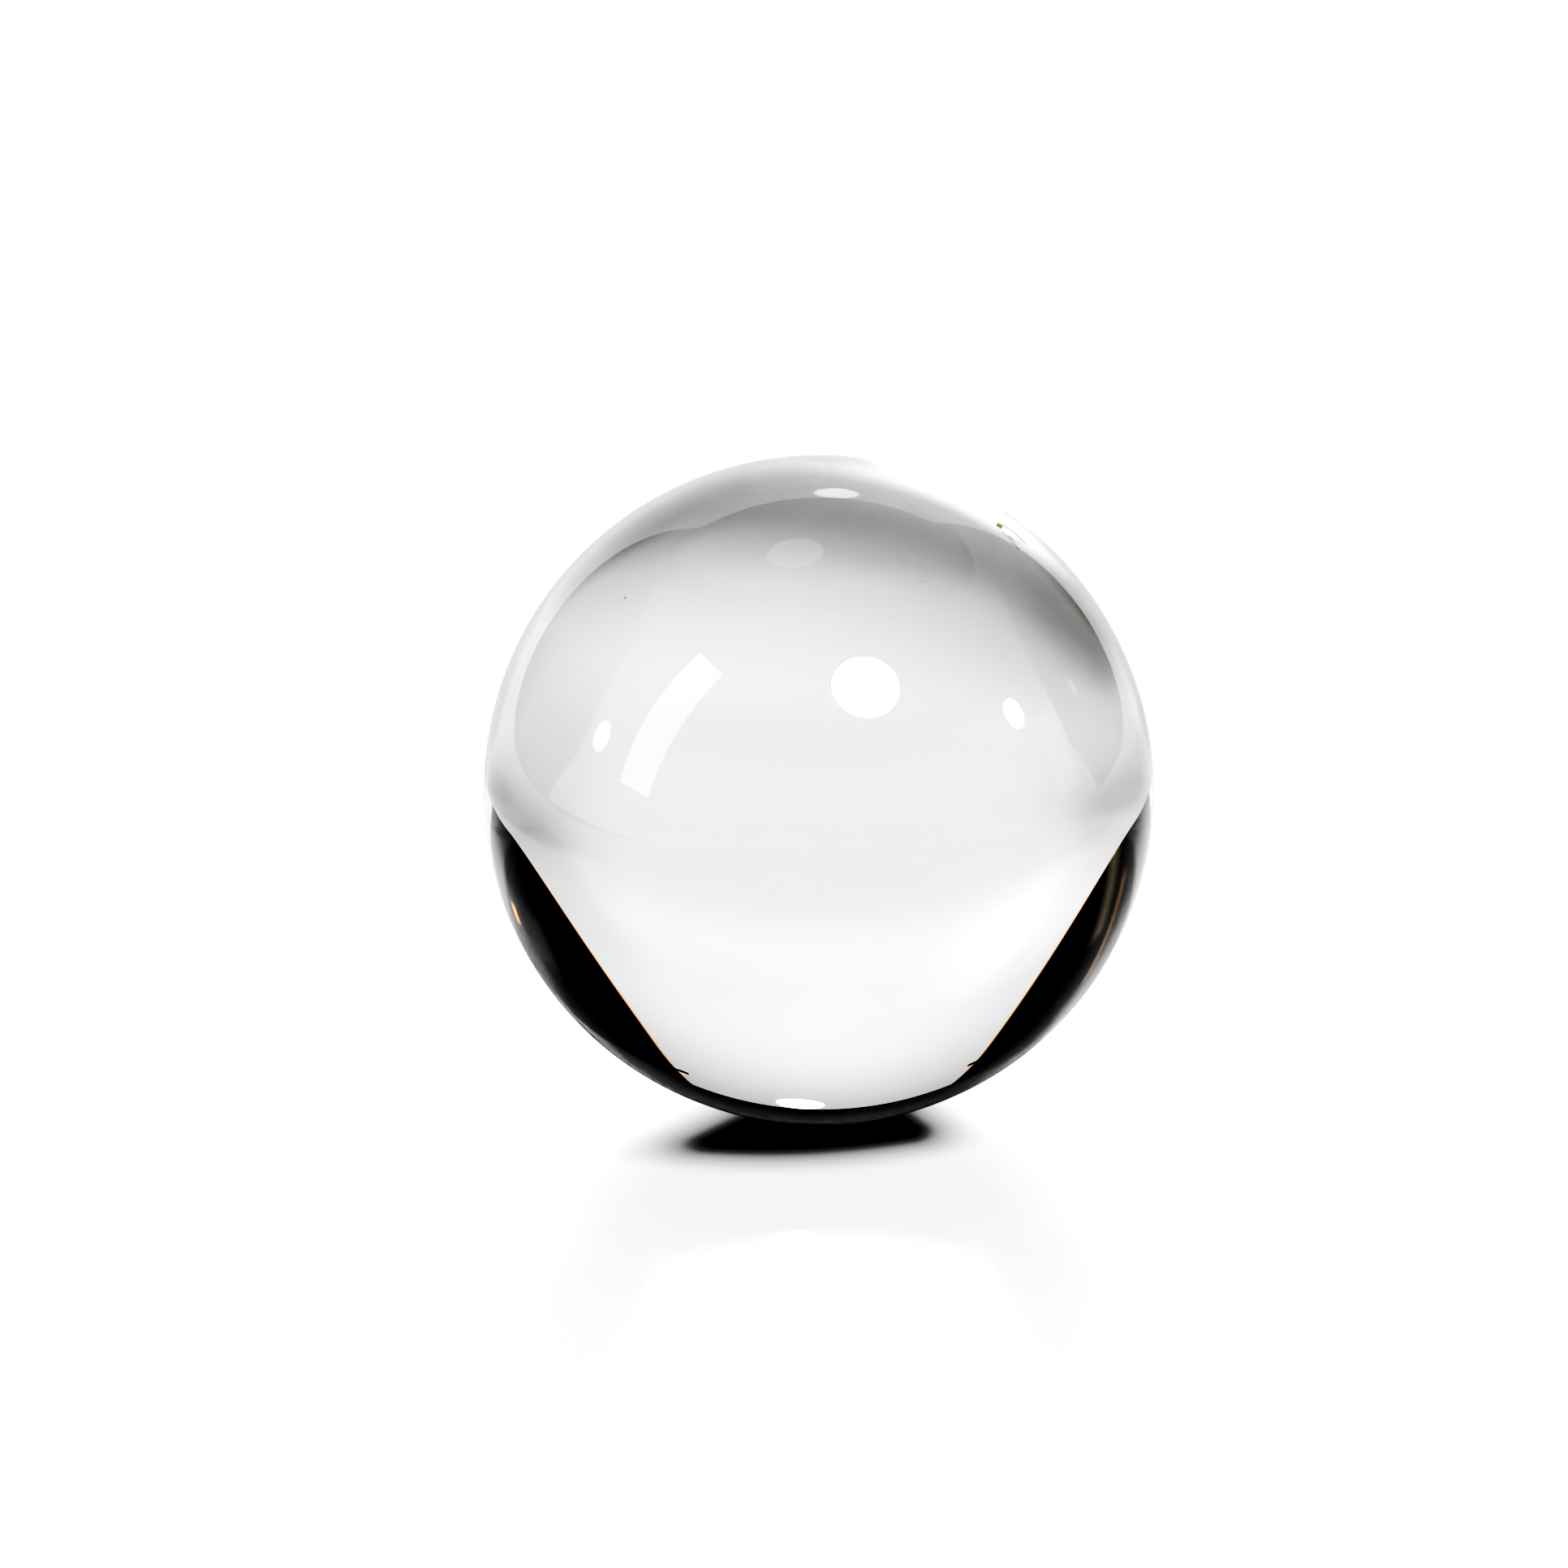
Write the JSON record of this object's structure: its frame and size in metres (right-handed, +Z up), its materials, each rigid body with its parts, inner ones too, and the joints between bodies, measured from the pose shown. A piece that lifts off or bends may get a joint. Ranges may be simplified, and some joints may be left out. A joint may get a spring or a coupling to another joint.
{
  "type": "crystal ball",
  "caption": "Solid clear glass sphere, polished all over, held in the hand or rested on a ring stand for fortune telling, contact juggling or seeing the scene behind it upside down.",
  "frame": {"origin": "centre of the glass sphere", "axes": "+Z up through the point the ball rests on; every axis through the centre is equivalent"},
  "size_m": [0.08, 0.08, 0.08],
  "materials": {
    "clear_glass": "polished, colourless optical glass"
  },
  "bodies": {
    "root": {"ball": "clear_glass"}
  },
  "joints": []
}
